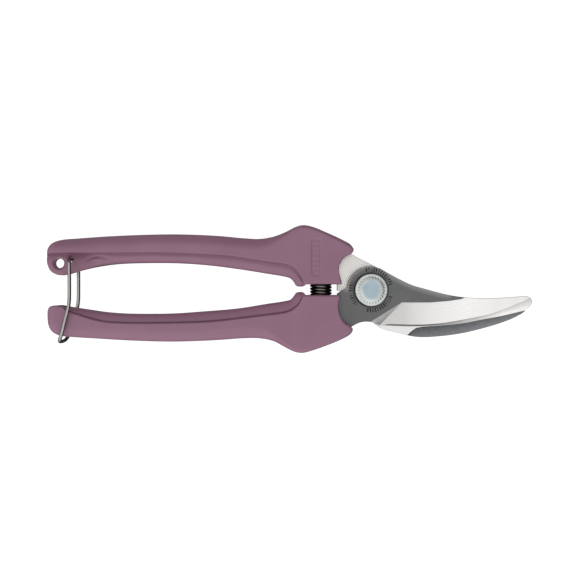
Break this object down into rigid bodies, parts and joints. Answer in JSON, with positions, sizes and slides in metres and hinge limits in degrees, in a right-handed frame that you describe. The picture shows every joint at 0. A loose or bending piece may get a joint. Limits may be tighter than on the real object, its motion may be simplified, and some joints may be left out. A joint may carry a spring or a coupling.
{
  "type": "pruning shears",
  "caption": "Bypass pruning shears with pressed-steel handles, a curved cutting blade, a hooked counter blade, a return spring and a swinging wire latch at the tail.",
  "frame": {"origin": "on the pivot axis, on the plane that the closed shears rest on: the flush end of the pivot bolt at the nut", "axes": "+X towards the blade tips along the closed tool, +Y towards the upper handle in the plane of the blades, +Z along the pivot axis towards the bolt head"},
  "size_m": [0.19, 0.0501, 0.0173],
  "materials": {
    "handle_paint": "satin coated pressed steel",
    "dark_blade_steel": "blackened fine-brushed steel with a bright ground bevel",
    "ground_steel": "bright ground steel",
    "zinc_plate": "bluish zinc plate, satin",
    "black_spring_steel": "blackened spring steel, slight oil sheen",
    "packing_steel": "phosphated steel, matt",
    "bright_wire": "bright drawn wire"
  },
  "bodies": {
    "upper_half": {"upper_handle": "handle_paint", "counter_blade": "ground_steel", "pivot_bolt": "zinc_plate", "pivot_nut": "zinc_plate", "head_washer": "zinc_plate", "nut_washer": "zinc_plate", "blade_shim": "ground_steel", "pivot_bush": "ground_steel", "return_spring": "black_spring_steel", "upper_spring_seat": "packing_steel", "upper_near_spacer": "packing_steel", "upper_far_spacer": "packing_steel", "upper_tang_rivets": "zinc_plate"},
    "lower_half": {"lower_handle": "handle_paint", "cutting_blade": "dark_blade_steel", "lower_spring_seat": "packing_steel", "lower_near_spacer": "packing_steel", "lower_far_spacer": "packing_steel", "lower_tang_rivets": "zinc_plate"},
    "latch": {"latch_wire": "bright_wire"}
  },
  "joints": [
    {"name": "handle_hinge", "type": "hinge", "parent": "upper_half", "child": "lower_half", "pos_m": [0, 0, 0.0087], "axis": [0, 0, 1], "range_deg": [0, 25], "deforming": ["return_spring"]},
    {"name": "latch_hinge", "type": "hinge", "parent": "upper_half", "child": "latch", "pos_m": [-0.1172, 0.012, 0.0087], "axis": [0, 0, -1], "range_deg": [0, 195]}
  ],
  "couplings": [
    {"joint": "latch_hinge", "follows": "handle_hinge", "ratio": 7.8}
  ]
}
